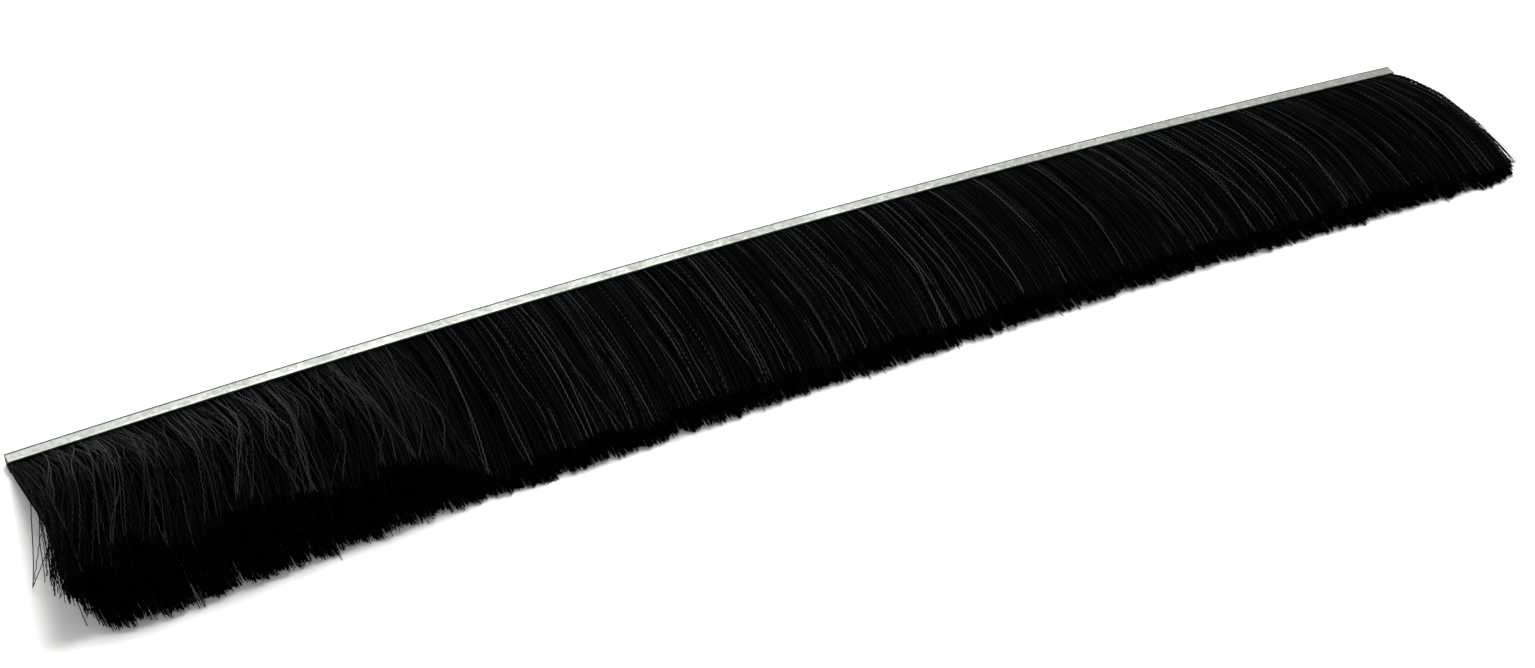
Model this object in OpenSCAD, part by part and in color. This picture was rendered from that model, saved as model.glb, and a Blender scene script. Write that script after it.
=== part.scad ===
// Door sweep brush: a folded metal channel that grips a row of filaments
// doubled round a core wire. The strip lies flat on its lower flange with the
// bristles drooping on to the same plane.
//
// Frame: X runs along the strip, Y from the bristle tips towards the back of
// the channel, Z up. The origin is the middle of the channel's underside at
// mid-length. The strip has a slight free bow in the XY plane, hollow towards
// the bristles.

/* [Strip] */
// Length of the strip, measured end to end across its back (mm)
strip_length = 914.4; // [900:0.1:930]
// Free bow of the strip at mid-length (mm)
bow = 14.2; // [14.1:0.1:18]

/* [Channel] */
// Depth of the channel from its back to its mouth (mm)
channel_depth = 7.9; // [7.6:0.1:8.4]
// Outside height of the channel across its two flanges (mm)
channel_height = 7.9; // [7.6:0.1:8.4]
// Thickness of the sheet the channel is folded from (mm)
sheet = 1.0; // [0.8:0.05:1.1]
// Outside radius of the two folds along the back (mm)
fold_radius = 1.6; // [1.3:0.1:1.8]
// Length of each flange that is crimped inwards at the mouth (mm)
crimp_length = 1.8; // [1.4:0.1:2.2]
// How far each crimped edge is turned in (mm)
crimp_in = 0.3; // [0.1:0.05:0.4]

/* [Core wire] */
// Diameter of the wire that the filaments are doubled round (mm)
wire_diameter = 2.0; // [1.6:0.1:2.2]

/* [Bristles] */
// How far the tips reach from the mouth of the channel (mm)
reach = 132; // [120:1:140]
// Height of the tips above the resting plane at the splayed near end (mm)
near_tip_height = 44; // [34:1:48]
// Height of the tips where the splayed stretch ends (mm)
splay_tip_height = 30; // [26:1:34]
// Length of the strip over which the bristles are splayed (mm)
splay_length = 215; // [160:5:260]
// Height of the tips along the middle of the strip (mm)
mid_tip_height = 15; // [13:1:18]
// Height of the tips at the far end (mm)
far_tip_height = 20; // [18:1:24]
// Height of the crown of the bristles above the straight line from mouth to tip (mm)
crown = 9; // [5:0.5:11]
// Clear gap between neighbouring bristle bundles (mm)
bundle_gap = 0.7; // [0.5:0.1:1]

/* [Hidden] */

// Twelve equal bundles along the strip
bundles = 12;
// Radius of the back of the bowed strip, and half the angle it spans
back_radius = (strip_length * strip_length / 4 + bow * bow) / (2 * bow);
half_angle = asin(strip_length / 2 / back_radius);
bundle_angle = 2 * half_angle / bundles;
gap_angle = bundle_gap / back_radius * 180 / PI;
// Radius of the mouth of the channel
mouth_radius = back_radius - channel_depth;
// Height of the middle plane of the channel
mid_z = channel_height / 2;
// Half the clear width of the mouth between the crimped edges
mouth_half = channel_height / 2 - sheet - crimp_in;
// The bristles bend about a line just outside the mouth
bend_radius = mouth_half;
bend_reach = bend_radius + 0.45;
// Clearance of the doubled filaments inside the channel and round the wire
ease = 0.05;
// Depth of the wire's centre behind the back of the channel: sheet, doubled filaments, wire
wire_depth = sheet + 0.9 + wire_diameter / 2;
// Radial slice that every round end is smooth at
$fn = 64;

// Point at parameter t on the cubic curve with control points p
function curve(p, t) =
    pow(1 - t, 3) * p[0] + 3 * pow(1 - t, 2) * t * p[1]
    + 3 * (1 - t) * t * t * p[2] + t * t * t * p[3];

// Angle of the middle of bundle i, counted from mid-length, near end negative
function bundle_mid(i) = (i - (bundles + 1) / 2) * bundle_angle;

// Position of the middle of bundle i along the strip
function bundle_x(i) = bundle_mid(i) * PI / 180 * back_radius;

// Distance of the middle of bundle i from the near end
function from_near(i) = bundle_x(i) + strip_length / 2;

// Height of the tips of bundle i
function tip_height(i) =
    from_near(i) < splay_length
        ? near_tip_height + (splay_tip_height - near_tip_height) * from_near(i) / splay_length
        : mid_tip_height + (far_tip_height - mid_tip_height)
          * (from_near(i) - splay_length) / (strip_length - splay_length);

// Filaments are trimmed to one length, so a lifted tip reaches less far
function tip_reach(h) = reach - 0.0035 * h * h;

// Sweeps a profile along the bowed strip from angle a0 to angle a1. In the
// profile x is the distance from the centre of the bow and y is the height.
module sweep(a0, a1) {
    translate([0, channel_depth / 2 - back_radius, 0])
        rotate([0, 0, 90 - a1])
            rotate_extrude(angle = a1 - a0, $fn = 1440)
                children();
}

// The whole strip
module full_sweep() {
    sweep(-half_angle, half_angle) children();
}

// Straight part of the channel's outline, set in from its outside by inset,
// from the folds at the back to a distance past the start of the crimped edges
module straight_outline(inset, radius, past) {
    back = back_radius - inset;
    top = channel_height - inset;
    flat_end = mouth_radius + crimp_length - past;
    translate([flat_end, inset]) square([back - radius - flat_end, top - inset]);
    translate([back - radius, inset + radius]) square([radius, top - inset - 2 * radius]);
    translate([back - radius, inset + radius]) circle(r = radius);
    translate([back - radius, top - radius]) circle(r = radius);
}

// Space between the crimped edges, from a little inside the straight part of
// the channel to a distance past the mouth, clear of the sheet by gap
module mouth_space(gap, past) {
    start = mouth_radius + crimp_length;
    low = sheet + gap;
    high = channel_height - low;
    drop = crimp_in * (crimp_length + past) / crimp_length;
    polygon([
        [start + 0.3, low], [start + 0.3, high], [start, high],
        [mouth_radius - past, high - drop], [mouth_radius - past, low + drop], [start, low]
    ]);
}

// What the crimp takes off the outside of a flange whose face is at height z
module crimp_relief(z, s) {
    start = mouth_radius + crimp_length;
    polygon([
        [start, z], [mouth_radius - 1, z + s * crimp_in * (crimp_length + 1) / crimp_length],
        [mouth_radius - 1, z - s * 1], [start, z - s * 1]
    ]);
}

module channel() color([0.80, 0.81, 0.78])
    full_sweep()
        difference() {
            straight_outline(0, fold_radius, crimp_length);
            crimp_relief(0, 1);
            crimp_relief(channel_height, -1);
            straight_outline(sheet, fold_radius - sheet, 0);
            mouth_space(0, 1);
        }

module core_wire() color([0.55, 0.56, 0.57])
    full_sweep()
        translate([back_radius - wire_depth, mid_z]) circle(d = wire_diameter);

// Doubled filaments of one bundle, filling the channel round the wire
module bristle_root(i) color([0.07, 0.07, 0.075]) {
    low = sheet + ease;
    high = channel_height - low;
    start = mouth_radius + crimp_length;
    sweep(bundle_mid(i) - bundle_angle / 2 + gap_angle / 2,
          bundle_mid(i) + bundle_angle / 2 - gap_angle / 2)
        difference() {
            straight_outline(low, fold_radius - low, crimp_length);
            crimp_relief(low, 1);
            crimp_relief(high, -1);
            translate([back_radius - wire_depth, mid_z]) circle(d = wire_diameter + 2 * ease);
        }
}

// Free part of one bundle: a round inner end that turns in front of the mouth,
// then a body that crowns, droops and lies along the resting plane
module bristle_section(i) {
    h = tip_height(i);
    r = tip_reach(h);
    steps = 14;
    top_pts = [
        [bend_reach, mid_z + bend_radius],
        [bend_reach + 0.30 * r, mid_z + bend_radius + 0.42 * h + crown * 0.9],
        [bend_reach + 0.66 * r, h + crown * 1.35],
        [r - 1, h]
    ];
    low_pts = [
        [bend_reach, mid_z - bend_radius],
        [bend_reach + 8, 0.35],
        [bend_reach + 14, 0],
        [bend_reach + 26, 0]
    ];
    color([0.07, 0.07, 0.075])
        sweep(bundle_mid(i) - bundle_angle / 2 + gap_angle / 2,
              bundle_mid(i) + bundle_angle / 2 - gap_angle / 2) {
            translate([mouth_radius - bend_reach, mid_z]) circle(r = bend_radius);
            polygon([
                for (k = [0 : steps]) let (p = curve(top_pts, k / steps)) [mouth_radius - p[0], p[1]],
                [mouth_radius - (r + 1.5), 0.5 * h],
                [mouth_radius - reach, 0.10 * h],
                [mouth_radius - (reach - 2), 0],
                for (k = [0 : 6]) let (p = curve(low_pts, 1 - k / 6)) [mouth_radius - p[0], p[1]]
            ]);
        }
}

module bristle_root_01() bristle_root(1);
module bristle_root_02() bristle_root(2);
module bristle_root_03() bristle_root(3);
module bristle_root_04() bristle_root(4);
module bristle_root_05() bristle_root(5);
module bristle_root_06() bristle_root(6);
module bristle_root_07() bristle_root(7);
module bristle_root_08() bristle_root(8);
module bristle_root_09() bristle_root(9);
module bristle_root_10() bristle_root(10);
module bristle_root_11() bristle_root(11);
module bristle_root_12() bristle_root(12);

module bristle_section_01() bristle_section(1);
module bristle_section_02() bristle_section(2);
module bristle_section_03() bristle_section(3);
module bristle_section_04() bristle_section(4);
module bristle_section_05() bristle_section(5);
module bristle_section_06() bristle_section(6);
module bristle_section_07() bristle_section(7);
module bristle_section_08() bristle_section(8);
module bristle_section_09() bristle_section(9);
module bristle_section_10() bristle_section(10);
module bristle_section_11() bristle_section(11);
module bristle_section_12() bristle_section(12);

channel();
core_wire();
bristle_root_01();
bristle_root_02();
bristle_root_03();
bristle_root_04();
bristle_root_05();
bristle_root_06();
bristle_root_07();
bristle_root_08();
bristle_root_09();
bristle_root_10();
bristle_root_11();
bristle_root_12();
bristle_section_01();
bristle_section_02();
bristle_section_03();
bristle_section_04();
bristle_section_05();
bristle_section_06();
bristle_section_07();
bristle_section_08();
bristle_section_09();
bristle_section_10();
bristle_section_11();
bristle_section_12();
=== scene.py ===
import math

import bpy
import numpy as np
from mathutils import Matrix, Vector


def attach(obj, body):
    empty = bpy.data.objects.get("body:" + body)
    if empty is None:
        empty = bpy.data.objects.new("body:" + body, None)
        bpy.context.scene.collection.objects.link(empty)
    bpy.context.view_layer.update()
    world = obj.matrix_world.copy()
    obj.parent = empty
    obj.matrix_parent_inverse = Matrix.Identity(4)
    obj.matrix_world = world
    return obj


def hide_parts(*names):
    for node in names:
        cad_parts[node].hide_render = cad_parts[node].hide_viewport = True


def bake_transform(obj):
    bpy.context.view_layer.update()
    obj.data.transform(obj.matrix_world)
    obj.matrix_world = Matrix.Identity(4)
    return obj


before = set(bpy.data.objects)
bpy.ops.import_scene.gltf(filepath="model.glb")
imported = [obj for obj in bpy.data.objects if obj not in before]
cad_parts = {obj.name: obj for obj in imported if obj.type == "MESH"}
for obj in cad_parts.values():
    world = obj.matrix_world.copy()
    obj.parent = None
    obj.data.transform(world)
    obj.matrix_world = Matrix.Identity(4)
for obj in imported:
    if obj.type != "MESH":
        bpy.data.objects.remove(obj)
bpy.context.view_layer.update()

MM = 0.001
# ---------------------------------------------------------------- geometry of the bow, in mm (the same numbers as the CAD)
LENGTH = 914.4
BOW = 14.2
R_BACK = (LENGTH * LENGTH / 4 + BOW * BOW) / (2 * BOW)
HALF = math.asin(LENGTH / 2 / R_BACK)          # half the angle of the bow
ARC_HALF = HALF * R_BACK                        # half the arc length along the back
DEPTH, HEIGHT, SHEET, FOLD = 7.9, 7.9, 1.0, 1.6
CRIMP, CRIMP_IN = 1.8, 0.3
WIRE_R, WIRE_AT = 1.0, 2.9
Y_C = DEPTH / 2 - R_BACK                        # centre of the bow
N_SECT = 12
PITCH = 2 * ARC_HALF / N_SECT
FIL_R = 0.25                                    # radius of a filament


def place(a, r, z):
    """(arc position, reach from the back, height) in mm -> row frame in metres, last axis xyz."""
    th = np.asarray(a) / R_BACK
    rr = R_BACK - np.asarray(r)
    return np.stack([rr * np.sin(th), Y_C + rr * np.cos(th), np.asarray(z) + 0 * th], axis=-1) * MM


# ---------------------------------------------------------------- camera, at the photograph's viewing angle
def make_camera():
    yaw, pitch, roll = math.radians(27.723), math.radians(38.054), math.radians(1.444)
    fwd = Vector((math.sin(yaw) * math.cos(pitch), math.cos(yaw) * math.cos(pitch), -math.sin(pitch)))
    right = Vector((math.cos(yaw), -math.sin(yaw), 0))
    up = right.cross(fwd)
    r2 = right * math.cos(roll) + up * math.sin(roll)
    u2 = up * math.cos(roll) - right * math.sin(roll)
    cam = bpy.data.cameras.new("camera")
    cam.sensor_width, cam.sensor_fit, cam.lens = 36.0, "HORIZONTAL", 55.90
    cam.clip_start, cam.clip_end = 0.01, 50
    o = bpy.data.objects.new("camera", cam)
    m = Matrix.Identity(4)
    for k, v in enumerate((r2, u2, -fwd)):
        for j in range(3):
            m[j][k] = v[j]
    m.translation = Vector((-0.5413, -1.03155, 0.8391))
    o.matrix_world = m
    bpy.context.scene.collection.objects.link(o)
    bpy.context.scene.camera = o


make_camera()


# ---------------------------------------------------------------- material helpers
def new_material(name):
    m = bpy.data.materials.new(name)
    m.use_nodes = True
    nt = m.node_tree
    for n in list(nt.nodes):
        nt.nodes.remove(n)
    out = nt.nodes.new("ShaderNodeOutputMaterial")
    b = nt.nodes.new("ShaderNodeBsdfPrincipled")
    nt.links.new(b.outputs[0], out.inputs[0])
    return m, nt, b


def node(nt, kind, **inputs):
    n = nt.nodes.new(kind)
    for k, v in inputs.items():
        if k in n.inputs:
            n.inputs[k].default_value = v
    return n


def ramp(nt, source, stops, interpolation="LINEAR"):
    n = nt.nodes.new("ShaderNodeValToRGB")
    n.color_ramp.interpolation = interpolation
    e = n.color_ramp.elements
    while len(e) < len(stops):
        e.new(0.5)
    for k, (p, c) in enumerate(stops):
        e[k].position = p
        e[k].color = (c, c, c, 1) if isinstance(c, float) else (*c, 1)
    nt.links.new(source, n.inputs[0])
    return n.outputs[0]


def math_node(nt, op, a, b, clamp=False):
    n = nt.nodes.new("ShaderNodeMath")
    n.operation = op
    n.use_clamp = clamp
    for k, v in enumerate((a, b)):
        if isinstance(v, (int, float)):
            n.inputs[k].default_value = v
        elif v is not None:
            nt.links.new(v, n.inputs[k])
    return n.outputs[0]


def mix_colour(nt, fac, a, b, blend="MIX"):
    n = nt.nodes.new("ShaderNodeMix")
    n.data_type = "RGBA"
    n.blend_type = blend
    for k, v in ((0, fac), (6, a), (7, b)):
        if isinstance(v, (int, float)):
            n.inputs[k].default_value = v
        elif isinstance(v, tuple):
            n.inputs[k].default_value = (*v, 1)
        else:
            nt.links.new(v, n.inputs[k])
    return n.outputs[2]


def stretched(nt, source, scale):
    m = nt.nodes.new("ShaderNodeMapping")
    m.inputs["Scale"].default_value = scale
    nt.links.new(source, m.inputs[0])
    return m.outputs[0]


# Galvanised sheet: zinc spangle, drawing lines along the strip, duller along the folds and cut edges; the near-black
# there is painted shade along the back fold and the lips, and darkens the cut ends
def galvanised():
    m, nt, b = new_material("galvanised_sheet")
    tc = nt.nodes.new("ShaderNodeTexCoord")
    obj = tc.outputs["Object"]
    spangle = node(nt, "ShaderNodeTexVoronoi", Scale=420.0, Randomness=1.0)
    warp = node(nt, "ShaderNodeTexNoise", Scale=260.0, Detail=3.0, Roughness=0.6)
    nt.links.new(obj, warp.inputs["Vector"])
    shifted = nt.nodes.new("ShaderNodeVectorMath")
    shifted.operation = "MULTIPLY_ADD"
    nt.links.new(warp.outputs["Color"], shifted.inputs[0])
    shifted.inputs[1].default_value = (0.0022, 0.0022, 0.0022)
    nt.links.new(obj, shifted.inputs[2])
    nt.links.new(shifted.outputs[0], spangle.inputs["Vector"])
    cell = ramp(nt, spangle.outputs["Color"], [(0.15, (0.415, 0.452, 0.417)), (0.85, (0.482, 0.525, 0.485))])
    # drawing lines, much longer than wide
    lines = node(nt, "ShaderNodeTexNoise", Scale=1.0, Detail=4.0, Roughness=0.65)
    nt.links.new(stretched(nt, obj, (90.0, 2600.0, 2600.0)), lines.inputs["Vector"])
    lined = mix_colour(nt, 0.55, cell, ramp(nt, lines.outputs["Fac"], [(0.34, 0.88), (0.66, 1.0)]), "MULTIPLY")
    # dull patches of oxide
    patches = node(nt, "ShaderNodeTexNoise", Scale=38.0, Detail=6.0, Roughness=0.62)
    nt.links.new(obj, patches.inputs["Vector"])
    dull = ramp(nt, patches.outputs["Fac"], [(0.44, 0.0), (0.64, 1.0)])
    coloured = mix_colour(nt, math_node(nt, "MULTIPLY", dull, 0.5), lined, (0.385, 0.410, 0.375))
    # specks of dirt and pits
    grit = node(nt, "ShaderNodeTexNoise", Scale=1500.0, Detail=2.0, Roughness=0.5)
    nt.links.new(obj, grit.inputs["Vector"])
    speck = ramp(nt, grit.outputs["Fac"], [(0.66, 0.0), (0.74, 1.0)])
    coloured = mix_colour(nt, math_node(nt, "MULTIPLY", speck, 0.35), coloured, (0.33, 0.32, 0.29))
    # the wear and painted shade mask: on the back fold and the cut lips the near-black colour is painted shade, and the
    # cut ends are darkened too; its roughness and lower metal stand for stretched, oxidised zinc
    wear_and_painted_shade = nt.nodes.new("ShaderNodeAttribute")
    wear_and_painted_shade.attribute_name = "wear_and_painted_shade"
    broken = node(nt, "ShaderNodeTexNoise", Scale=700.0, Detail=5.0, Roughness=0.7)
    nt.links.new(obj, broken.inputs["Vector"])
    torn_and_painted_shade = math_node(nt, "MULTIPLY", wear_and_painted_shade.outputs["Fac"], ramp(nt, broken.outputs["Fac"], [(0.25, 0.62), (0.6, 1.0)]))
    # painted shade: near black where the mask is high
    coloured = mix_colour(nt, torn_and_painted_shade, coloured, (0.030, 0.032, 0.026))
    nt.links.new(coloured, b.inputs["Base Color"])
    nt.links.new(math_node(nt, "SUBTRACT", 1.0, math_node(nt, "MULTIPLY", torn_and_painted_shade, 0.95), clamp=True), b.inputs["Metallic"])
    b.inputs["Specular IOR Level"].default_value = 0.08
    rough = math_node(nt, "MULTIPLY_ADD", spangle.outputs["Color"], 0.14)
    rough_n = rough.node
    rough_n.inputs[2].default_value = 0.17
    rough = math_node(nt, "ADD", rough, math_node(nt, "MULTIPLY", dull, 0.12))
    rough = math_node(nt, "ADD", rough, math_node(nt, "MULTIPLY", torn_and_painted_shade, 0.45), clamp=True)
    nt.links.new(rough, b.inputs["Roughness"])
    bump = node(nt, "ShaderNodeBump", Strength=0.25, Distance=0.00005)
    relief = math_node(nt, "ADD", math_node(nt, "MULTIPLY", lines.outputs["Fac"], 0.8),
                       math_node(nt, "MULTIPLY", grit.outputs["Fac"], 0.6))
    relief = math_node(nt, "ADD", relief, math_node(nt, "MULTIPLY", spangle.outputs["Distance"], 0.5))
    nt.links.new(relief, bump.inputs["Height"])
    nt.links.new(bump.outputs[0], b.inputs["Normal"])
    return m


# Steel wire: drawn, slightly brown at the sheared ends
def wire_steel():
    m, nt, b = new_material("retaining_wire_steel")
    tc = nt.nodes.new("ShaderNodeTexCoord")
    obj = tc.outputs["Object"]
    drawn = node(nt, "ShaderNodeTexNoise", Scale=1.0, Detail=5.0, Roughness=0.7)
    nt.links.new(stretched(nt, obj, (60.0, 4200.0, 4200.0)), drawn.inputs["Vector"])
    base = ramp(nt, drawn.outputs["Fac"], [(0.3, (0.33, 0.33, 0.325)), (0.7, (0.56, 0.56, 0.55))])
    rust = node(nt, "ShaderNodeTexNoise", Scale=900.0, Detail=6.0, Roughness=0.7)
    nt.links.new(obj, rust.inputs["Vector"])
    spots = ramp(nt, rust.outputs["Fac"], [(0.56, 0.0), (0.70, 1.0)])
    # the sheared ends are dark and torn
    xyz = nt.nodes.new("ShaderNodeSeparateXYZ")
    nt.links.new(obj, xyz.inputs[0])
    end = math_node(nt, "GREATER_THAN", math_node(nt, "ABSOLUTE", xyz.outputs[0], None), LENGTH * MM / 2 - 0.0004)
    coloured = mix_colour(nt, math_node(nt, "MULTIPLY", spots, 0.6), base, (0.20, 0.13, 0.08))
    coloured = mix_colour(nt, end, coloured, mix_colour(nt, rust.outputs["Fac"], (0.045, 0.040, 0.035), (0.13, 0.115, 0.10)))
    nt.links.new(coloured, b.inputs["Base Color"])
    nt.links.new(math_node(nt, "SUBTRACT", 1.0, math_node(nt, "MULTIPLY", end, 0.5)), b.inputs["Metallic"])
    rough = math_node(nt, "ADD", math_node(nt, "MULTIPLY", drawn.outputs["Fac"], 0.25), 0.24)
    nt.links.new(math_node(nt, "ADD", rough, math_node(nt, "MULTIPLY", end, 0.3)), b.inputs["Roughness"])
    bump = node(nt, "ShaderNodeBump", Strength=0.5, Distance=0.00005)
    nt.links.new(drawn.outputs["Fac"], bump.inputs["Height"])
    nt.links.new(bump.outputs[0], b.inputs["Normal"])
    return m


# Black crimped synthetic filament. "shade" is one random number per filament: most are dull and near black, a few are
# glossier and paler; that pale base colour is painted sheen, standing in for the highlight streaks on filaments that
# catch the light.
def filament(name, stops, scuffed, specular, gloss):
    m, nt, b = new_material(name)
    shade = nt.nodes.new("ShaderNodeAttribute")
    shade.attribute_name = "shade"
    obj = nt.nodes.new("ShaderNodeTexCoord").outputs["Object"]
    base = ramp(nt, shade.outputs["Fac"], stops)
    # dust and scuffed skin
    dust = node(nt, "ShaderNodeTexNoise", Scale=900.0, Detail=4.0, Roughness=0.6)
    nt.links.new(obj, dust.inputs["Vector"])
    scuff = math_node(nt, "MULTIPLY", ramp(nt, dust.outputs["Fac"], [(0.50, 0.0), (0.80, 1.0)]), 0.22)
    nt.links.new(mix_colour(nt, scuff, base, scuffed), b.inputs["Base Color"])
    rough = math_node(nt, "MULTIPLY_ADD", shade.outputs["Fac"], -0.26)
    rough.node.inputs[2].default_value = gloss
    rough = math_node(nt, "ADD", rough, math_node(nt, "MULTIPLY", dust.outputs["Fac"], 0.14))
    nt.links.new(rough, b.inputs["Roughness"])
    b.inputs["Specular IOR Level"].default_value = specular
    bump = node(nt, "ShaderNodeBump", Strength=0.25, Distance=0.00004)
    nt.links.new(dust.outputs["Fac"], bump.inputs["Height"])
    nt.links.new(bump.outputs[0], b.inputs["Normal"])
    return m


MAT_ZINC = galvanised()
MAT_WIRE = wire_steel()
# the lit copy: its pale stops are painted sheen
MAT_FIL = filament(
    "black_filament",
    [(0.0, (0.0004, 0.0005, 0.0006)), (0.72, (0.0008, 0.0011, 0.0013)), (0.88, (0.0030, 0.0040, 0.0046)), (1.0, (0.044, 0.052, 0.058))],
    (0.0028, 0.0034, 0.0040), 0.025, 0.64)
# the filaments deeper in the brush: a darker, matt copy of the filament, painted shade for the light that doesn't reach
# them
MAT_INNER_PAINTED_SHADE = filament(
    "black_filament_inner_painted_shade",
    [(0.0, (0.0002, 0.0003, 0.0003)), (0.78, (0.0006, 0.0008, 0.0009)), (1.0, (0.0042, 0.0050, 0.0056))],
    (0.0010, 0.0012, 0.0014), 0.01, 0.74)


# ---------------------------------------------------------------- mesh helpers
def make_mesh(name, verts, faces, material, smooth=True, attributes=None, second=None, which=None):
    """faces is a list of integer arrays, each (n, k) with one k; which gives each face's material."""
    me = bpy.data.meshes.new(name)
    loops = np.concatenate([f.ravel() for f in faces]).astype(np.int32)
    counts = np.concatenate([np.full(len(f), f.shape[1]) for f in faces]).astype(np.int32)
    starts = np.concatenate([[0], np.cumsum(counts)[:-1]]).astype(np.int32)
    me.vertices.add(len(verts))
    me.vertices.foreach_set("co", np.ascontiguousarray(verts, np.float32).ravel())
    me.loops.add(len(loops))
    me.loops.foreach_set("vertex_index", loops)
    me.polygons.add(len(counts))
    me.polygons.foreach_set("loop_start", starts)
    me.polygons.foreach_set("use_smooth", np.full(len(counts), smooth))
    for key, values in (attributes or {}).items():
        at = me.attributes.new(key, "FLOAT", "POINT")
        at.data.foreach_set("value", np.ascontiguousarray(values, np.float32))
    me.materials.append(material)
    if second is not None:
        me.materials.append(second)
        me.polygons.foreach_set("material_index", np.ascontiguousarray(which, np.int32))
    me.update(calc_edges=True)
    me.validate(clean_customdata=False)
    o = bpy.data.objects.new(name, me)
    bpy.context.scene.collection.objects.link(o)
    return o


def tubes(paths, radius, rng, shade, sides=3, crimp=0.0, crimp_from=0.03):
    """Closed tubes along paths (n, m, 3) in metres. Crimp zigzags each point about its path, in one plane per filament."""
    n, m, _ = paths.shape
    t = np.gradient(paths, axis=1)
    t /= np.linalg.norm(t, axis=2, keepdims=True)
    x = np.array([1.0, 0.0, 0.0])
    na = x - t * (t @ x)[..., None]
    na /= np.maximum(np.linalg.norm(na, axis=2, keepdims=True), 1e-9)
    nb = np.cross(t, na)
    u = np.linspace(0, 1, m)
    if crimp > 0:
        psi = rng.uniform(0, 2 * math.pi, n)[:, None, None]
        amp = crimp * rng.uniform(0.7, 1.25, n)[:, None] * np.clip((u - crimp_from) / 0.05, 0, 1)[None, :]
        wave = np.where(np.arange(m) % 2 == 0, 1.0, -1.0)[None, :] * amp
        paths = paths + wave[..., None] * (np.cos(psi) * na + np.sin(psi) * nb)
        paths[..., 2] = np.maximum(paths[..., 2], 0.00026)
    ph = rng.uniform(0, 2 * math.pi, n)[:, None, None, None]
    ang = ph + (2 * math.pi * np.arange(sides) / sides)[None, None, :, None]
    ring = paths[:, :, None, :] + radius * (np.cos(ang) * na[:, :, None, :] + np.sin(ang) * nb[:, :, None, :])
    verts = ring.reshape(-1, 3)
    base = (np.arange(n) * m * sides)[:, None, None]
    j = (np.arange(m - 1) * sides)[None, :, None]
    k = np.arange(sides)[None, None, :]
    k2 = (k + 1) % sides
    quads = np.stack([base + j + k, base + j + k2, base + j + sides + k2, base + j + sides + k], axis=-1).reshape(-1, 4)
    b0 = (np.arange(n) * m * sides)[:, None]
    caps0 = b0 + np.arange(sides)[::-1][None, :]
    caps1 = b0 + (m - 1) * sides + np.arange(sides)[None, :]
    sh = np.repeat(shade, m * sides)
    al = np.tile(np.repeat(u, sides), n)
    return verts, [quads, np.concatenate([caps0, caps1])], sh, al


def join(parts, slots=None):
    """Joins the results of tubes() into one set of arrays; slots gives each part's material."""
    verts, quads, caps, sh, al, mq, mc, at = [], [], [], [], [], [], [], 0
    for i, (v, (q, c), s, l) in enumerate(parts):
        verts.append(v)
        quads.append(q + at)
        caps.append(c + at)
        sh.append(s)
        al.append(l)
        mq.append(np.full(len(q), slots[i] if slots else 0))
        mc.append(np.full(len(c), slots[i] if slots else 0))
        at += len(v)
    return (np.concatenate(verts), [np.concatenate(quads), np.concatenate(caps)],
            {"shade": np.concatenate(sh), "along": np.concatenate(al)}, np.concatenate(mq + mc))


def hermite(xs, ys, n=201):
    """Monotone cubic through the keys, sampled at n even steps from 0 to 1."""
    xs, ys = np.asarray(xs, float), np.asarray(ys, float)
    h, d = np.diff(xs), np.diff(ys) / np.diff(xs)
    m = np.zeros_like(ys)
    m[0], m[-1] = d[0], d[-1]
    for k in range(1, len(xs) - 1):
        if d[k - 1] * d[k] > 0:
            w1, w2 = 2 * h[k] + h[k - 1], h[k] + 2 * h[k - 1]
            m[k] = (w1 + w2) / (w1 / d[k - 1] + w2 / d[k])
    q = np.linspace(0, 1, n)
    i = np.clip(np.searchsorted(xs, q, side="right") - 1, 0, len(xs) - 2)
    s = (q - xs[i]) / h[i]
    return ((1 + 2 * s) * (1 - s) ** 2 * ys[i] + s * (1 - s) ** 2 * h[i] * m[i]
            + s * s * (3 - 2 * s) * ys[i + 1] + s * s * (s - 1) * h[i] * m[i + 1])


# ---------------------------------------------------------------- the lie of the bristles
# Height of the top layer at seven shares of the way from mouth to tip, at stations along the strip (mm)
SHARES = [0.0, 0.10, 0.25, 0.45, 0.65, 0.85, 1.0]
STATIONS = [
    (-462, [6.3, 14.0, 25.0, 39.0, 49.0, 50.0, 40.0]),
    (-425, [6.3, 14.0, 26.0, 40.5, 50.0, 52.5, 47.0]),
    (-385, [6.3, 13.0, 23.5, 37.0, 46.5, 48.5, 41.0]),
    (-330, [6.3, 12.0, 21.0, 32.5, 41.0, 43.0, 38.0]),
    (-285, [6.3, 11.5, 19.5, 30.0, 38.0, 40.5, 37.0]),
    (-262, [6.3, 10.5, 16.5, 24.5, 29.0, 29.5, 26.0]),
    (-240, [6.3, 9.5, 13.5, 17.0, 18.8, 17.6, 14.0]),
    (-198, [6.3, 8.6, 11.2, 13.2, 15.0, 15.6, 14.5]),
    (-100, [6.3, 9.2, 12.0, 15.0, 17.8, 18.0, 15.5]),
    (0, [6.3, 9.6, 12.8, 16.4, 19.6, 18.8, 15.5]),
    (150, [6.3, 10.2, 14.0, 18.0, 20.6, 19.0, 15.5]),
    (300, [6.3, 10.1, 14.2, 18.5, 20.8, 19.0, 15.4]),
    (400, [6.3, 10.7, 15.2, 19.5, 21.2, 19.0, 15.2]),
    (435, [6.3, 10.9, 15.4, 19.6, 20.6, 17.9, 13.7]),
    (462, [6.3, 11.0, 15.2, 18.8, 19.2, 16.8, 12.4]),
]
PROFILE_A = np.array([s[0] for s in STATIONS], float)
PROFILE_Z = np.array([hermite(SHARES, s[1]) for s in STATIONS])


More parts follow.
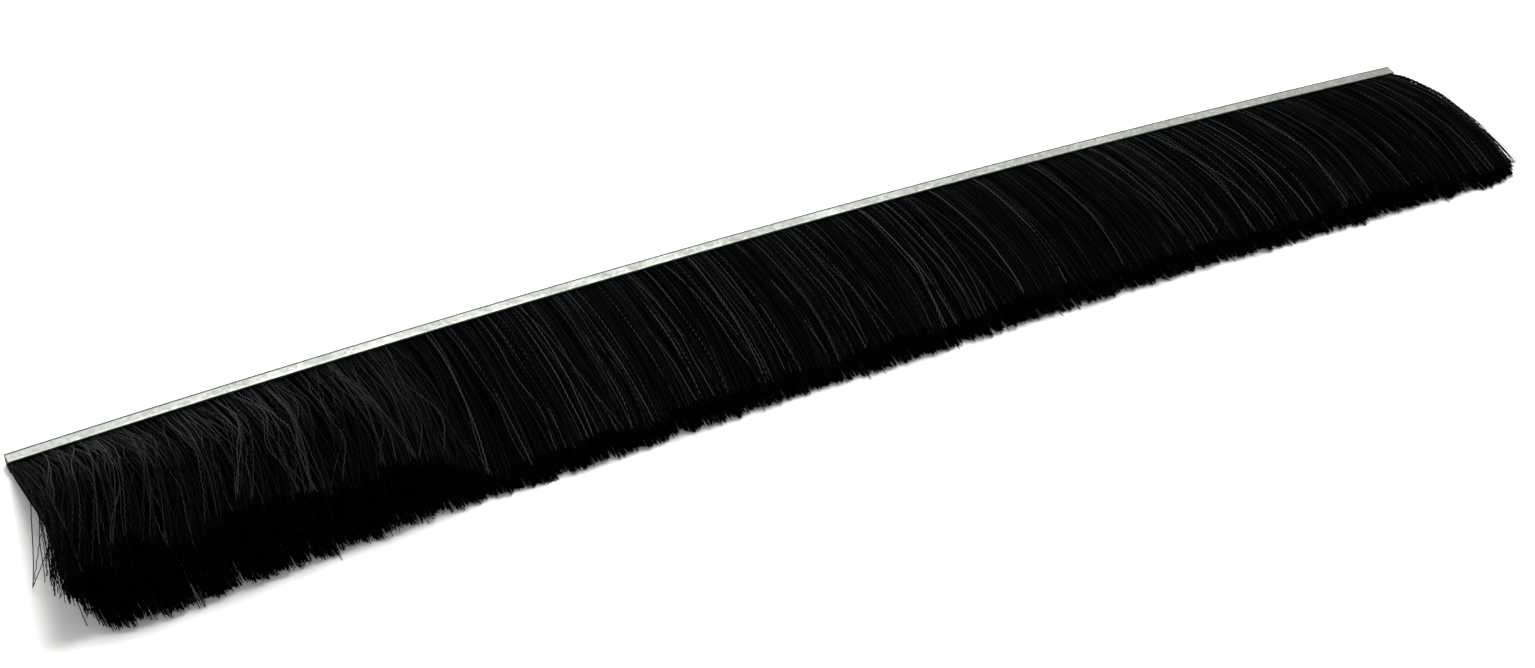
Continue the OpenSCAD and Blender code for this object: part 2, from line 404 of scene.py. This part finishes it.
def top_height(a, s):
    """Height of the top layer at arc position a and share s of the way to the tip."""
    fa = np.interp(a, PROFILE_A, np.arange(len(PROFILE_A)))
    i = np.clip(fa.astype(int), 0, len(PROFILE_A) - 2)
    fa = fa - i
    fs = np.clip(s, 0, 1) * (PROFILE_Z.shape[1] - 1)
    j = np.clip(fs.astype(int), 0, PROFILE_Z.shape[1] - 2)
    fs = fs - j
    z = PROFILE_Z
    return ((1 - fa) * ((1 - fs) * z[i, j] + fs * z[i, j + 1]) + fa * ((1 - fs) * z[i + 1, j] + fs * z[i + 1, j + 1]))


# Sideways drift of the tips, top and bottom layer (mm), and how late along the filament it happens
DRIFT_A = [-457, -446, -430, -418, -392, -350, -300, -250, -200, -100, 0, 150, 300, 400, 440, 457]
DRIFT_TOP = [-10, -13, -13.5, -12.5, -13.5, -14, -17, -14, -12, -14, -12, -9, -4, -1, 2, 5.5]
DRIFT_LOW = [18, 15, 13, 12, 8, 4, 1, -2, -4, -5, -6, -4, -3, 2, 5, 7]
LATE_A = [-457, -400, -330, -300, -100, 400, 457]
LATE_TOP = [3.0, 3.0, 2.1, 1.6, 1.5, 1.4, 2.4]
LATE_LOW = [1.3, 1.3, 1.5, 1.6, 1.6, 1.5, 1.8]
# Tufts that stand above or below their neighbours along the strip (arc position, change of tip height)
TUFT_A = [-463, -443, -430, -414, -403, -386, -372, -362, -346, -320, -309, -298, -276, -267, -253, -234, -202,
          -175, -145, -113, -79, -57, -32, -9, 17, 40, 110, 223, 297, 373, 405, 463]
TUFT_DZ = [0, 0, 4, -4, -6, 1, 4, 2, 0, -3, -2, 3, 2, 6, 2, -1, 3, 3, -2, 4, -1, 1, -4, 1, 3, -1, 2, 0, -1, 2, 0, -4]


REACH_A = [-457, -430, -391, -350, -308, -265, -222, -178, -131, -85, -36, 11, 63, 115, 168, 223, 276, 334, 376, 457]
REACH_D = [1.5, 3.0, 3.4, 2.2, 2.0, 0.6, 1.5, 3.0, 2.0, 2.2, 1.6, 3.3, 2.4, 1.7, 1.8, 0.5, 1.8, 1.2, 0.0, 0.0]


def reach_at(a):
    """Reach of the lowest tips from the back of the channel."""
    return (141.4 - 0.0165 * a + np.interp(a, REACH_A, REACH_D) - 4.5 * np.clip((a - 440) / 20, 0, 1) ** 1.6
            - 5.5 * np.clip((-425 - a) / 28, 0, 1) ** 1.5)


class Noise:
    """A few seeded sines, for slow changes along the strip."""

    def __init__(self, rng, waves, amplitude):
        self.k = 2 * math.pi / np.array(waves)
        self.p = rng.uniform(0, 2 * math.pi, len(waves))
        self.a = amplitude * rng.uniform(0.6, 1.0, len(waves))

    def __call__(self, a):
        return (np.sin(np.asarray(a)[..., None] * self.k + self.p) * self.a).sum(-1)


RNG = np.random.default_rng(7431)
RAGGED = Noise(RNG, [61.0, 37.0, 23.0, 14.0, 9.1, 6.3], 0.42)
LEAN_SLOW = Noise(RNG, [173.0, 97.0, 58.0, 31.0], 0.9)


class Locks:
    """Filaments lean together in locks. Each lock has its own lean, lift and length."""

    def __init__(self, rng, step, layers, lean, lift, length, pull):
        n = int((2 * ARC_HALF + 40) / step) + 1
        self.step, self.layers, self.pull = step, layers, pull
        a = -ARC_HALF - 20 + step * np.arange(n)
        self.a = (a[:, None] + rng.uniform(-0.45, 0.45, (n, layers)) * step)
        w = (np.arange(layers) + 0.5) / layers
        self.w = w[None, :] + rng.uniform(-0.35, 0.35, (n, layers)) / layers
        self.lean = rng.normal(0, lean, (n, layers))
        self.bend = rng.normal(0, lean * 0.45, (n, layers))
        self.lift = rng.normal(0, lift, (n, layers))
        self.length = rng.normal(0, length, (n, layers))
        self.shade = rng.normal(0, 1, (n, layers))

    def find(self, a, w):
        """Index of the nearest lock to each filament."""
        i0 = np.round((a + ARC_HALF + 20) / self.step).astype(int)
        j0 = np.floor(np.clip(w, 0, 0.999) * self.layers).astype(int)
        best, bi, bj = np.full(len(a), 1e9), i0 * 0, j0 * 0
        for di in (-1, 0, 1):
            for dj in (-1, 0, 1):
                i = np.clip(i0 + di, 0, self.a.shape[0] - 1)
                j = np.clip(j0 + dj, 0, self.layers - 1)
                d = ((a - self.a[i, j]) / self.step) ** 2 + ((w - self.w[i, j]) * self.layers * 0.7) ** 2
                hit = d < best
                best = np.where(hit, d, best)
                bi, bj = np.where(hit, i, bi), np.where(hit, j, bj)
        return bi, bj


BIG = Locks(RNG, 13.0, 3, 1.1, 0.8, 0.45, 0.08)
SMALL = Locks(RNG, 2.4, 6, 0.95, 0.55, 0.40, 0.22)
KINKS = np.random.default_rng(2027)


def splay(a):
    """1 in the splayed stretch at the near end, 0 along the rest."""
    return np.clip((-235.0 - a) / 60.0, 0, 1)


def filament_paths(a0, w, m, rng, wild=0.0, calm=1.0):
    """Paths of filaments rooted at arc positions a0, in layers w (0 lowest, 1 highest), m points each, in (a, r, z)."""
    n = len(a0)
    t = np.linspace(0, 1, m)[None, :]
    sp = splay(a0)[:, None]
    bi, bj = BIG.find(a0, w)
    si, sj = SMALL.find(a0, w)
    rough = calm * (1 + 1.9 * sp) * (0.35 + 0.65 * np.clip((w - 0.25) / 0.5, 0, 1))[:, None]    # the lower layers lie straighter
    # sideways
    up = np.clip(w, 0, 1) ** 0.45
    top_drift = (up * np.interp(a0, DRIFT_A, DRIFT_TOP))[:, None] * t ** np.interp(a0, LATE_A, LATE_TOP)[:, None]
    low_drift = ((1 - up) * np.interp(a0, DRIFT_A, DRIFT_LOW))[:, None] * t ** np.interp(a0, LATE_A, LATE_LOW)[:, None]
    edge = np.where(a0 > 0, np.clip((ARC_HALF - a0) / 22.0, 0.1, 1), np.clip((ARC_HALF + a0) / 12.0, 0.25, 1))[:, None]       # the outermost locks don't stray past the ends
    lean = (BIG.lean[bi, bj] + SMALL.lean[si, sj])[:, None] * rough * edge + (rng.normal(0, 1.0, n) * (1 + 2.0 * np.clip((w - 0.80) / 0.12, 0, 1)))[:, None] * rough / (1 + 0.9 * sp)
    bend = (BIG.bend[bi, bj] + SMALL.bend[si, sj])[:, None] * rough * edge
    a = (a0[:, None] + top_drift + low_drift + LEAN_SLOW(a0)[:, None] * t ** 1.8 + lean * t ** 1.6
         + bend * np.sin(math.pi * np.clip(t, 0, 1)) * 1.2
         + SMALL.pull * t ** 1.3 * ((SMALL.a[si, sj] - a0) * np.where(w > 0.86, 0.5, 1.0))[:, None] * edge * rough
         + BIG.pull * t ** 1.5 * (BIG.a[bi, bj] - a0)[:, None] * edge * rough
         + ((rng.normal(0, 0.35, n) * (1 + 0.8 * np.clip((w - 0.80) / 0.12, 0, 1)))[:, None] * np.sin(2 * math.pi * (t * rng.uniform(0.8, 2.2, n)[:, None] + rng.uniform(0, 1, n)[:, None]))) * t)
    curly = (sp[:, 0] * np.clip((w - 0.72) / 0.10, 0, 1))[:, None]
    kinks = KINKS.normal(0, 1.0, (n, 1)) * np.sin(2 * math.pi * (t * KINKS.uniform(2.2, 4.6, (n, 1)) + KINKS.uniform(0, 1, (n, 1))))
    a = a + curly * kinks * 0.6 * t ** 0.8
    if wild:
        a = a + rng.normal(0, wild, n)[:, None] * t ** 1.2
    # layer
    wl = w[:, None] + t ** 1.2 * (0.5 * (SMALL.w[si, sj] - w) + 0.12 * (BIG.w[bi, bj] - w))[:, None] * np.where(w > 0.9, 0.45, 1.0)[:, None]
    wl = wl + rng.normal(0, 0.018, n)[:, None] * t
    wl = np.clip(wl, 0, 1.12)
    # reach and height
    tip_a = a[:, -1]
    tuft = np.interp(tip_a, TUFT_A, TUFT_DZ)
    ztip = np.clip(w, 0, 1) * (top_height(tip_a, np.ones(n)) + tuft)
    r_tip = (reach_at(tip_a) + RAGGED(tip_a) - 0.25 * ztip + BIG.length[bi, bj] + SMALL.length[si, sj]
             + rng.normal(0, 0.5, n) + np.where(rng.random(n) < 0.03, rng.uniform(0.8, 3.2, n), 0.0))
    r_tip = np.minimum(r_tip, 166.6 - tip_a ** 2 / (2 * R_BACK))
    r = 6.9 + (r_tip[:, None] - 6.9) * t
    s = np.clip((r - 7.9) / (r_tip[:, None] - 7.9), 0, 1)
    z_top = top_height(a, s) + tuft[:, None] * s ** 2.2
    z_low = 0.27 + 1.28 * np.exp(-s / 0.055)
    lift = (BIG.lift[bi, bj] + SMALL.lift[si, sj])[:, None] * (0.35 + 0.65 * np.clip(w, 0, 1))[:, None] * rough * s ** 1.5
    z = z_low + (z_top - z_low) * wl + lift * np.clip(s * 3, 0, 1) + rng.normal(0, 0.35, n)[:, None] * s
    z = np.clip(z, 0.27 + 0.1 * rng.random((n, 1)), 53.5)
    return a, r, z


def shades(a0, rng):
    """One number per filament, 0 dark to 1 pale, spread evenly along the strip."""
    rank = np.argsort(np.argsort(a0))
    return (rank * 0.6180339887 + rng.normal(0, 0.035, len(a0))) % 1.0


FINE_FROM, TOP_FROM = 0.74, 0.875
PER_SECTION = 1080
for k in range(1, N_SECT + 1):
    rng = np.random.default_rng(9000 + 17 * k)
    lo = -ARC_HALF + (k - 1) * PITCH
    a0 = lo + PITCH * (np.arange(PER_SECTION) + rng.uniform(0, 1, PER_SECTION)) / PER_SECTION
    w = rng.permutation((np.arange(PER_SECTION) + 0.5) / PER_SECTION)
    # the lowest layers are packed closer, where the brush lies on its own weight
    a0 = np.concatenate([a0, lo + PITCH * (np.arange(240) + rng.uniform(0, 1, 240)) / 240])
    w = np.concatenate([w, rng.uniform(0, 0.20, 240)])
    if k <= 3:
        a0 = np.concatenate([a0, lo + PITCH * (np.arange(420) + rng.uniform(0, 1, 420)) / 420])
        w = np.concatenate([w, rng.permutation((np.arange(420) + 0.5) / 420) * 0.72])
    fill = 0
    if k == N_SECT:
        # and the last filaments at the far end, which are seen against the table
        fill = 320
        a0 = np.concatenate([a0, ARC_HALF - rng.uniform(0.4, 22.0, fill)])
        w = np.concatenate([w, rng.uniform(0.05, 0.93, fill)])
    n = len(a0)
    filler = np.arange(n) >= n - fill
    a0 = np.clip(a0, -ARC_HALF + 0.35, ARC_HALF - 0.35)
    # the outermost rows at the two ends are seen from the side, so they are fine too
    outer = (a0 < -ARC_HALF + 1.6) | (a0 > ARC_HALF - 1.6)
    near_side = (a0 < -ARC_HALF + 3.2) & (w > 0.25)
    top = (((w > TOP_FROM) & (rng.random(n) < 0.85)) | (outer & (rng.random(n) < 0.3)) | (near_side & (rng.random(n) < 0.6))) & ~filler
    bottom = (w < 0.075) & ~top & ~filler                # seen from below when the bristles lift
    under = ((w > FINE_FROM) | outer) & ~top & ~filler & ~bottom
    deep = ~(top | under | bottom)
    parts, slots = [], []
    # top and bottom filaments take the lit copy; under and deep ones take the darker inner copy, painted shade inside
    # the brush
    for sel, m, crimp, slot in ((top, 58, 0.29 * MM, 0), (under, 58, 0.25 * MM, 1), (bottom, 46, 0.16 * MM, 0), (deep, 14, 0.0, 1)):
        a, r, z = filament_paths(a0[sel], w[sel], m, rng)
        # in the three near-end sections the tones are scaled down, painted shade where their curved filaments catch
        # more light
        part = tubes(place(a, r, z), FIL_R * MM, rng, shades(a0[sel], rng) * (0.925 if k <= 3 else 1.0), crimp=crimp)
        if m == 46:
            # painted shade: the bottom layer's tones fade to dark towards the tips, more so in the four near-end
            # sections
            part[2][:] *= (1 - 0.9 * np.clip((part[3] - 0.50) / 0.15, 0, 1)) if k <= 4 else (1 - 0.6 * np.clip((part[3] - 0.74) / 0.14, 0, 1))
        parts.append(part)
        slots.append(slot)
    if k <= 4:
        # straight ones behind the splayed tips, so that no table shows between the locks
        rs = np.random.default_rng(5100 + k)
        sa = np.clip(lo + PITCH * (np.arange(380) + rs.uniform(0, 1, 380)) / 380, -ARC_HALF + 1.2, ARC_HALF)
        a, r, z = filament_paths(sa, rs.uniform(0.0, 0.55, 380), 14, rs, calm=0.2)
        r = 6.9 + (r - 6.9) * rs.uniform(0.955, 0.985, (380, 1))
        parts.append(tubes(place(a, r, z), FIL_R * MM, rs, rs.uniform(0, 0.5, 380)))
        slots.append(1)
    # strays that cross their neighbours on top
    ns = 44 if k <= 3 else 7
    sa = lo + PITCH * rng.uniform(0.22 if k == 1 else 0.05, 0.95, ns)
    a, r, z = filament_paths(sa, rng.uniform(0.97, 1.06, ns), 58, rng, wild=6.5 if k <= 3 else 5.0)
    t = np.linspace(0, 1, 58)[None, :]
    curl = rng.normal(0, 2.2 if k <= 3 else 0.8, (ns, 1))
    a = np.maximum(a + curl * np.sin(2 * math.pi * (t ** 1.5) * rng.uniform(0.6, 1.3, (ns, 1))), -ARC_HALF + 3)
    z = z + 0.8 * t
    # the strays get pale tones, painted sheen
    parts.append(tubes(place(a, r, np.clip(z, 0.3, 53.5)), FIL_R * MM, rng, rng.uniform(0.80, 0.94 if k <= 3 else 1.0, ns), crimp=0.28 * MM))
    slots.append(0)
    if k == 1:
        # a tuft that hangs past the near end, and strays that reach the table
        ends = [(-467.5, 127, 24), (-468.5, 123, 27), (-469, 131, 21), (-466.5, 133, 20), (-466, 129, 26), (-464, 132, 22),
                (-462, 125, 29), (-463, 130, 24), (-461, 128, 21), (-457, 121, 20), (-456, 126, 14), (-457.5, 131, 10),
                (-453, 120, 9), (-452, 125, 5), (-453.5, 129, 2), (-457.5, 137, 0.4), (-446, 141, 0.4), (-449, 131, 0.4)]
        ends = np.array(ends, float)
        m = 58
        t = np.linspace(0, 1, m)[None, :]
        wt_ = np.clip(0.25 + ends[:, 2] / 38.0, 0.2, 0.95)[:, None]
        root = -ARC_HALF + rng.uniform(0.5, 3.5, len(ends))[:, None]
        r = 6.9 + (ends[:, 1:2] - 6.9) * t ** 0.98
        crest = np.maximum(ends[:, 2:3] + 9, 10)
        z = (1.6 + 4.6 * wt_) * (1 - t) ** 2 + 2 * (crest * 1.02) * t * (1 - t) * 1.35 + ends[:, 2:3] * t ** 2
        a = root + (ends[:, 0:1] - root) * t ** 2.4 + 2.5 * np.sin(math.pi * t) * (1 - t) + rng.normal(0, 0.4, (len(ends), 1)) * t
        parts.append(tubes(place(a, r, np.clip(z, 0.3, 53.5)), FIL_R * MM, rng, rng.uniform(0.2, 0.9, len(ends)), crimp=0.26 * MM))
        slots.append(1)
        # one filament folded over on itself at the corner
        bend = np.array([(-456.0, 7.2, 5.0), (-456.6, 28, 14.5), (-457.5, 53, 20), (-462, 70, 17.5), (-468, 88, 9), (-472.4, 98.5, 3.2),
                         (-473.2, 100.0, 2.6), (-472.4, 99.8, 3.6), (-468, 99.5, 11), (-462, 98.5, 21), (-457, 96.5, 29), (-454, 92, 33)])
        u = np.linspace(0, len(bend) - 1, 90)
        i = np.clip(u.astype(int), 0, len(bend) - 2)
        q = (u - i)[:, None]
        e = np.vstack([2 * bend[0] - bend[1], bend, 2 * bend[-1] - bend[-2]])
        p0, p1, p2, p3 = e[i], e[i + 1], e[i + 2], e[i + 3]
        c = 0.5 * (2 * p1 + (p2 - p0) * q + (2 * p0 - 5 * p1 + 4 * p2 - p3) * q ** 2 + (3 * p1 - p0 - 3 * p2 + p3) * q ** 3)
        parts.append(tubes(place(c[:, 0], c[:, 1], c[:, 2])[None], FIL_R * 1.15 * MM, rng, np.array([0.4]), crimp=0.10 * MM))
        slots.append(1)
    if k == N_SECT:
        # loose filaments that bow out at the far end, with gaps between them
        ns = 64
        wf = rng.uniform(0.62, 1.06, ns)
        a, r, z = filament_paths(ARC_HALF - rng.uniform(0.4, 5.0, ns), wf, 58, rng)
        t = np.linspace(0, 1, 58)[None, :]
        out = (1.5 * rng.random(ns) ** 2.2)[:, None]
        a = a + out * np.sin(math.pi * t ** 0.8) + rng.uniform(-1.0, 2.6, ns)[:, None] * t ** 2
        z = z + 0.35 * out * np.sin(math.pi * t ** 0.9)
        parts.append(tubes(place(a, r, np.clip(z, 0.3, 53.5)), FIL_R * MM, rng, rng.uniform(0.3, 0.95, ns), crimp=0.26 * MM))
        slots.append(0)
    verts, faces, attributes, which = join(parts, slots)
    o = make_mesh(f"filaments_{k:02d}", verts, faces, MAT_FIL, attributes=attributes, second=MAT_INNER_PAINTED_SHADE, which=which)
    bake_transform(o)
    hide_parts(f"bristle_section_{k:02d}")


# ---------------------------------------------------------------- channel
def channel_outline():
    """The folded section as (reach from the back, height, wear and painted shade), one closed loop. Lips and folds are
    rounded.
    """
    pts = []

    def arc(cr, cz, rad, a_from, a_to, steps, wear_and_painted_shade):
        for i in range(steps + 1):
            g = math.radians(a_from + (a_to - a_from) * i / steps)
            pts.append((cr + rad * math.cos(g), cz + rad * math.sin(g), wear_and_painted_shade))

    def half(sign):
        """Outside of one flange from the back fold to the lip, then inside back to the fold; sign 1 is the upper flange."""
        f = lambda z: HEIGHT / 2 + sign * (z - HEIGHT / 2)
        out = []
        top = HEIGHT
        lip_in = 0.08                       # the sheet springs back a little over the crimp
        # outer fold, from the back up to the flange; its value of 1 paints the fold near black, painted shade
        rf = 0.9
        out += [(0.0, top - rf - 1.1, 0.0), (0.0, top - rf - 0.45, 0.1)]
        for i in range(11):
            g = math.radians(90 * i / 10)
            out.append((rf - rf * math.cos(g), top - rf + rf * math.sin(g), 1.0))
        out += [(1.45, top, 1.0), (1.75, top, 0.85), (2.1, top, 0.0), (3.4, top, 0.0), (4.9, top, 0.0), (5.7, top, 0.0)]
        # crimp, eased in
        for i in range(6):
            q = i / 5
            x = 5.9 + q * 1.75
            out.append((x, top - lip_in * q ** 1.4, 0.0))
        e = 0.16
        lz, uz = top - lip_in - SHEET, top - lip_in
        # the rounded lip, valued 0.45 to 0.85: painted dark, a painted shade in place of its bright reflection
        for i in range(5):
            g = math.radians(90 - 90 * i / 4)
            out.append((DEPTH - e + e * math.cos(g), uz - e + e * math.sin(g), 0.45 + 0.1 * i))
        for i in range(5):
            g = math.radians(-90 * i / 4)
            out.append((DEPTH - e + e * math.cos(g), lz + e + e * math.sin(g), 0.85))
        out += [(7.0, lz + 0.15, 0.4), (DEPTH - CRIMP, top - SHEET, 0.1), (4.0, top - SHEET, 0.0), (FOLD, top - SHEET, 0.0)]
        for i in range(1, 6):
            g = math.radians(90 - 90 * i / 5)
            ri = FOLD - SHEET
            out.append((FOLD - ri * math.sin(math.radians(90 * i / 5)),
                        top - FOLD + ri * math.cos(math.radians(90 * i / 5)), 0.0))
        return [(x, f(z), wv) for x, z, wv in out]

    upper = half(1)
    lower = half(-1)
    loop = upper + lower[::-1]
    return np.array(loop)


def sweep_mesh(name, outline, a_values, material, wobble=None):
    """Sweeps a closed outline (r, z, wear and painted shade) along the bow, capped flat at both ends."""
    n, m = len(a_values), len(outline)
    a = np.repeat(np.asarray(a_values)[:, None], m, 1)
    r = np.repeat(outline[None, :, 0], n, 0)
    z = np.repeat(outline[None, :, 1], n, 0)
    wear_and_painted_shade = np.repeat(outline[None, :, 2], n, 0)
    if wobble is not None:
        r, z = wobble(a, r, z)
    # the last millimetre at each end gets more of the dark, rough mix
    cut = np.clip(1 - (ARC_HALF - np.abs(a)) / 1.4, 0, 1)
    wear_and_painted_shade = np.clip(wear_and_painted_shade + 0.8 * cut ** 3, 0, 1)
    verts = place(a, r, z).reshape(-1, 3)
    i = (np.arange(n - 1) * m)[:, None]
    j = np.arange(m)[None, :]
    j2 = (j + 1) % m
    quads = np.stack([i + j, i + j2, i + m + j2, i + m + j], axis=-1).reshape(-1, 4)
    caps = np.stack([np.arange(m)[::-1], (n - 1) * m + np.arange(m)])
    return make_mesh(name, verts, [quads, caps], material, attributes={"wear_and_painted_shade": wear_and_painted_shade.ravel()})


rngc = np.random.default_rng(515)
LIP = Noise(rngc, [8.5, 13.0, 27.0, 71.0], 0.022)
WAVE = Noise(rngc, [44.0, 96.0, 180.0], 0.02)


def wobble(a, r, z):
    near_lip = np.clip((r - 5.6) / 2.3, 0, 1)
    side = np.where(z > HEIGHT / 2, 1.0, -1.0)
    lift = LIP(a + 300 * (side > 0)) * near_lip
    z2 = np.where(side > 0, z + lift * side, z - lift * 0)       # the underside stays flat
    z2 = z2 + np.where(side > 0, WAVE(a) * 0.5, 0.0)
    r2 = r + WAVE(a + 77) * near_lip * 0.8
    return r2, np.clip(z2, 0.0, None)


outline = channel_outline()
a_steps = np.concatenate([[-ARC_HALF], np.linspace(-ARC_HALF + 0.12, -ARC_HALF + 1.6, 4),
                          np.linspace(-ARC_HALF + 3, ARC_HALF - 3, 420),
                          np.linspace(ARC_HALF - 1.6, ARC_HALF - 0.12, 4), [ARC_HALF]])
channel = sweep_mesh("channel_sheet", outline, a_steps, MAT_ZINC, wobble)
# flat end faces, sharp at the cut
me = channel.data
sharp = me.attributes.get("sharp_face") or me.attributes.new("sharp_face", "BOOLEAN", "FACE")
flags = np.zeros(len(me.polygons), bool)
flags[-2:] = True
sharp.data.foreach_set("value", flags)
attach(channel, "strip")
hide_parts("channel")


# ---------------------------------------------------------------- filaments doubled round the wire, seen at the cut ends
def loop_paths(rng, sign):
    """Doubled filaments at one end of the channel: out of the mouth on one side of the wire, round it, and back on the other."""
    made = []
    for row in range(2):
        for layer in range(5):
            back = min(WIRE_R + 0.30 + 0.42 * layer, 1.62)
            half_z = min(WIRE_R + 0.32 + 0.43 * layer, 2.62)
            pts = []
            for q in np.linspace(0, 1, 9):
                x = 7.6 + (WIRE_AT - 7.6) * q
                squeeze = np.clip((x - 5.6) / 2.0, 0, 1)
                pts.append((x, -(half_z - 0.30 * squeeze * half_z / 2.62)))
            for q in np.linspace(0, 1, 13)[1:-1]:
                g = -math.pi / 2 - math.pi * q
                pts.append((WIRE_AT + back * math.cos(g), half_z * math.sin(g)))
            for q in np.linspace(0, 1, 9):
                x = WIRE_AT + (7.6 - WIRE_AT) * q
                squeeze = np.clip((x - 5.6) / 2.0, 0, 1)
                pts.append((x, (half_z - 0.30 * squeeze * half_z / 2.62)))
            pts = np.array(pts)
            a = sign * (ARC_HALF - 0.28 - 0.42 * row) + rng.normal(0, 0.03, len(pts)).cumsum() * 0.3
            a = np.clip(np.abs(a), 0, ARC_HALF - 0.26) * sign
            made.append(place(a, pts[:, 0], HEIGHT / 2 + pts[:, 1]))
    return np.array(made)


for side, sign, bundle in (("near", -1, 1), ("far", 1, 12)):
    rng = np.random.default_rng(70 + bundle)
    p = loop_paths(rng, sign)
    verts, faces, attributes, _ = join([tubes(p, 0.23 * MM, rng, rng.uniform(0.3, 1.0, len(p)), sides=6)])
    o = make_mesh(f"root_loops_{side}", verts, faces, MAT_FIL, attributes=attributes)
    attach(o, "strip")

# ---------------------------------------------------------------- carried-over CAD nodes: materials only
for name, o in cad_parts.items():
    m = MAT_WIRE if name == "core_wire" else MAT_ZINC if name == "channel" else MAT_FIL
    if not o.material_slots:
        o.data.materials.append(m)
    for s in o.material_slots:
        s.material = m


# ---------------------------------------------------------------- floor and light
def floor():
    m, nt, b = new_material("pale_floor")
    tc = nt.nodes.new("ShaderNodeTexCoord")
    n = node(nt, "ShaderNodeTexNoise", Scale=3.0, Detail=3.0)
    nt.links.new(tc.outputs["Object"], n.inputs["Vector"])
    nt.links.new(ramp(nt, n.outputs["Fac"], [(0.3, (0.93, 0.925, 0.92)), (0.7, (0.95, 0.948, 0.945))]), b.inputs["Base Color"])
    b.inputs["Roughness"].default_value = 0.75
    b.inputs["Specular IOR Level"].default_value = 0.2
    me = bpy.data.meshes.new("floor")
    s = 6.0
    me.from_pydata([(-s, -s, 0), (s, -s, 0), (s, s, 0), (-s, s, 0)], [], [(0, 1, 2, 3)])
    me.materials.append(m)
    o = bpy.data.objects.new("floor", me)
    bpy.context.scene.collection.objects.link(o)


floor()


def area_light(name, at, target, size_x, size_y, power, colour=(1, 1, 1)):
    d = bpy.data.lights.new(name, "AREA")
    d.shape, d.size, d.size_y, d.energy, d.color = "RECTANGLE", size_x, size_y, power, colour
    o = bpy.data.objects.new(name, d)
    o.location = at
    o.rotation_mode = "QUATERNION"
    o.rotation_quaternion = (Vector(target) - Vector(at)).to_track_quat("-Z", "Y")
    bpy.context.scene.collection.objects.link(o)


area_light("softbox_top", (0.42, 0.70, 2.35), (0.0, -0.05, 0.0), 1.3, 1.3, 84.0, (1.0, 0.985, 0.965))

area_light("fill_front", (-0.6, -2.2, 0.9), (0.0, -0.05, 0.02), 1.2, 1.2, 15.0, (0.97, 0.985, 1.0))

# the studio around it: bright behind and above, dim in front
world = bpy.data.worlds.new("studio")
bpy.context.scene.world = world
world.use_nodes = True
wt = world.node_tree
bg = wt.nodes["Background"]
coord = wt.nodes.new("ShaderNodeTexCoord")
dot = wt.nodes.new("ShaderNodeVectorMath")
dot.operation = "DOT_PRODUCT"
dot.inputs[1].default_value = (0.0, 0.80, 0.60)
wt.links.new(coord.outputs["Generated"], dot.inputs[0])
fall = wt.nodes.new("ShaderNodeMapRange")
fall.interpolation_type = "LINEAR"
fall.inputs["From Min"].default_value = 0.70
fall.inputs["From Max"].default_value = 1.0
fall.inputs["To Min"].default_value = 0.42
fall.inputs["To Max"].default_value = 1.35
wt.links.new(dot.outputs["Value"], fall.inputs["Value"])
wt.links.new(fall.outputs[0], bg.inputs[1])
bg.inputs[0].default_value = (1.0, 0.98, 0.962, 1)

bpy.context.scene.view_settings.view_transform = "Standard"
bpy.context.scene.view_settings.look = "None"

bpy.context.view_layer.update()
